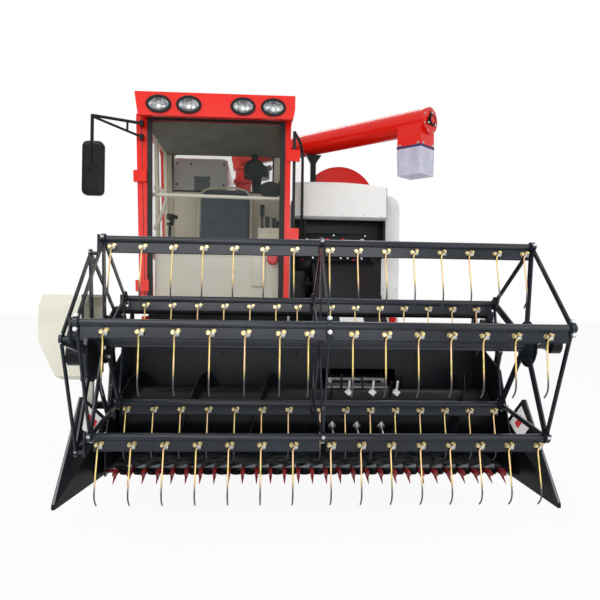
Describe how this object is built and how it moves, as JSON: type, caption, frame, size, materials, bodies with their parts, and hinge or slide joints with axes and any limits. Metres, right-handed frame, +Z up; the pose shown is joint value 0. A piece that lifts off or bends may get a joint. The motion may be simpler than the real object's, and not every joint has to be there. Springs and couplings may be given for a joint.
{
  "type": "combine harvester",
  "caption": "Compact tracked grain combine with an offset glazed cab, tined reel header, feeder house, threshing body, grain tank and swinging unloading auger.",
  "frame": {"origin": "on the ground under the middle of the machine's length and width", "axes": "the machine faces -Y, its left side is +X, +Z is up"},
  "size_m": [2.84, 5.2039, 2.766],
  "materials": {
    "red_paint": "gloss",
    "white_paint": "gloss",
    "black_paint": "satin",
    "reel_paint": "satin",
    "guard_red": "satin",
    "cream_plastic": "satin",
    "trim_beige": "matte",
    "black_plastic": "satin",
    "track_rubber": "matte",
    "steel": "satin",
    "chrome_rod": "polished",
    "engine_iron": "rough",
    "window_glass": "clear",
    "lamp_lens": "clear",
    "seat_cloth": "woven",
    "curtain_film": "satin",
    "amber_lens": "gloss"
  },
  "bodies": {
    "chassis": {"track_left": "track_rubber", "track_right": "track_rubber", "track_frames": "black_paint", "drive_axle": "black_paint", "chassis_frame": "black_paint", "engine_block": "engine_iron", "engine_covers": "red_paint", "grain_tank": "white_paint", "air_cleaner": "black_plastic", "thresher_body": "black_paint", "thresher_covers": "white_paint", "drum_cover": "red_paint", "front_hood": "white_paint", "straw_hood": "red_paint", "unload_riser": "red_paint", "cab_frame": "red_paint", "cab_floor": "black_paint", "cab_walls": "trim_beige", "cab_roof": "red_paint", "cab_glass": "window_glass", "work_lamps": "lamp_lens", "seat_base": "black_plastic", "seat_cushions": "seat_cloth", "consoles": "trim_beige", "mirror": "black_plastic"},
    "header": {"feeder_house": "black_paint", "feeder_chain": "steel", "header_trough": "black_paint", "header_ends": "black_paint", "dividers": "black_paint", "finger_guards": "guard_red", "drive_guard": "cream_plastic"},
    "knife_bar": {"knife": "black_paint"},
    "auger_drum": {"auger": "black_paint"},
    "reel_arms": {"reel_arm_left": "black_paint", "reel_arm_right": "black_paint", "reel_cross_tube": "black_paint"},
    "reel": {"reel_spiders": "reel_paint"},
    "eccentric_spider": {"eccentric": "reel_paint"},
    "door": {"door_frame": "red_paint", "door_glass": "window_glass"},
    "side_window": {"window_frame": "black_plastic", "window_glass": "window_glass"},
    "lift_cylinder": {"lift_barrel": "black_paint"},
    "lift_piston": {"lift_rod": "chrome_rod"},
    "reel_cylinders": {"reel_ram_barrels": "black_paint"},
    "reel_pistons": {"reel_ram_rods": "chrome_rod"},
    "turret": {"boom_turret": "red_paint"},
    "boom": {"boom_tube": "red_paint", "boom_spout": "red_paint", "spout_curtain": "curtain_film", "warning_lamp": "amber_lens"},
    "boom_cylinder": {"boom_ram_barrel": "black_paint"},
    "boom_piston": {"boom_ram_rod": "chrome_rod"},
    "tine_bar_1": {"bat_1": "reel_paint"},
    "tine_bar_2": {"bat_2": "reel_paint"},
    "tine_bar_3": {"bat_3": "reel_paint"},
    "tine_bar_4": {"bat_4": "reel_paint"},
    "tine_bar_5": {"bat_5": "reel_paint"}
  },
  "joints": [
    {"name": "header_lift", "type": "hinge", "parent": "chassis", "child": "header", "pos_m": [0.52, -0.06, 1.33], "axis": [-1, 0, 0], "range_deg": [-3.5, 12]},
    {"name": "knife_stroke", "type": "slide", "parent": "header", "child": "knife_bar", "axis": [1, 0, 0], "range_m": [-0.038, 0.038]},
    {"name": "auger_spin", "type": "hinge", "parent": "header", "child": "auger_drum", "pos_m": [0.165, -1.335, 0.508], "axis": [1, 0, 0], "continuous": true},
    {"name": "reel_lift", "type": "hinge", "parent": "header", "child": "reel_arms", "pos_m": [0.165, -1.098, 1.05], "axis": [-1, 0, 0], "range_deg": [0, 12]},
    {"name": "reel_spin", "type": "hinge", "parent": "reel_arms", "child": "reel", "pos_m": [0.165, -2.1, 0.995], "axis": [1, 0, 0], "continuous": true},
    {"name": "eccentric_spin", "type": "hinge", "parent": "reel_arms", "child": "eccentric_spider", "pos_m": [-0.945, -2.1, 0.925], "axis": [1, 0, 0], "continuous": true},
    {"name": "lift_cylinder_swing", "type": "hinge", "parent": "chassis", "child": "lift_cylinder", "pos_m": [0.3, -0.15, 0.48], "axis": [-1, 0, 0], "range_deg": [-2, 5]},
    {"name": "lift_piston_slide", "type": "slide", "parent": "lift_cylinder", "child": "lift_piston", "axis": [0, -0.8413, 0.5405], "range_m": [-0.05, 0.165]},
    {"name": "reel_cylinder_swing", "type": "hinge", "parent": "header", "child": "reel_cylinders", "pos_m": [0.165, -1.25, 0.64], "axis": [-1, 0, 0], "range_deg": [-1, 5]},
    {"name": "reel_piston_slide", "type": "slide", "parent": "reel_cylinders", "child": "reel_pistons", "axis": [0, -0.3987, 0.9171], "range_m": [-0.002, 0.07]},
    {"name": "boom_swing", "type": "hinge", "parent": "chassis", "child": "turret", "pos_m": [-0.34, 1.296, 2.405], "axis": [0, 0, 1], "range_deg": [0, 110]},
    {"name": "boom_lift", "type": "hinge", "parent": "turret", "child": "boom", "pos_m": [-0.34, 1.296, 2.65], "axis": [-0.7133, -0.7009, 0], "range_deg": [0, 20]},
    {"name": "boom_cylinder_swing", "type": "hinge", "parent": "turret", "child": "boom_cylinder", "pos_m": [-0.25028, 1.2047, 2.454], "axis": [-0.7133, -0.7009, 0], "range_deg": [-1, 35]},
    {"name": "boom_piston_slide", "type": "slide", "parent": "boom_cylinder", "child": "boom_piston", "axis": [0.6868, -0.6988, 0.2], "range_m": [-0.005, 0.13]},
    {"name": "cab_door", "type": "hinge", "parent": "chassis", "child": "door", "pos_m": [-1.02897, -0.552, 1.08517], "axis": [-0.0339, 0, 0.9994], "range_deg": [0, 80]},
    {"name": "side_window", "type": "hinge", "parent": "chassis", "child": "side_window", "pos_m": [0.124, -0.552, 1.6], "axis": [0, 0, -1], "range_deg": [-11.2, 45]},
    {"name": "tine_bar_1_turn", "type": "hinge", "parent": "reel", "child": "tine_bar_1", "pos_m": [0.165, -2.57671, 1.09459], "axis": [1, 0, 0], "continuous": true},
    {"name": "tine_bar_2_turn", "type": "hinge", "parent": "reel", "child": "tine_bar_2", "pos_m": [0.165, -2.1526, 1.47915], "axis": [1, 0, 0], "continuous": true},
    {"name": "tine_bar_3_turn", "type": "hinge", "parent": "reel", "child": "tine_bar_3", "pos_m": [0.165, -1.6558, 1.19463], "axis": [1, 0, 0], "continuous": true},
    {"name": "tine_bar_4_turn", "type": "hinge", "parent": "reel", "child": "tine_bar_4", "pos_m": [0.165, -1.77287, 0.63423], "axis": [1, 0, 0], "continuous": true},
    {"name": "tine_bar_5_turn", "type": "hinge", "parent": "reel", "child": "tine_bar_5", "pos_m": [0.165, -2.34203, 0.5724], "axis": [1, 0, 0], "continuous": true}
  ],
  "couplings": [
    {"joint": "eccentric_spin", "follows": "reel_spin", "ratio": 1},
    {"joint": "lift_cylinder_swing", "follows": "header_lift", "ratio": 0.1296},
    {"joint": "lift_piston_slide", "follows": "header_lift", "m_per_rad": 0.76319},
    {"joint": "reel_cylinder_swing", "follows": "reel_lift", "ratio": 0.2029},
    {"joint": "reel_piston_slide", "follows": "reel_lift", "m_per_rad": 0.29778},
    {"joint": "boom_cylinder_swing", "follows": "boom_lift", "ratio": 1.1149},
    {"joint": "boom_piston_slide", "follows": "boom_lift", "m_per_rad": 0.2265},
    {"joint": "tine_bar_1_turn", "follows": "reel_spin", "ratio": -1},
    {"joint": "tine_bar_2_turn", "follows": "reel_spin", "ratio": -1},
    {"joint": "tine_bar_3_turn", "follows": "reel_spin", "ratio": -1},
    {"joint": "tine_bar_4_turn", "follows": "reel_spin", "ratio": -1},
    {"joint": "tine_bar_5_turn", "follows": "reel_spin", "ratio": -1}
  ]
}
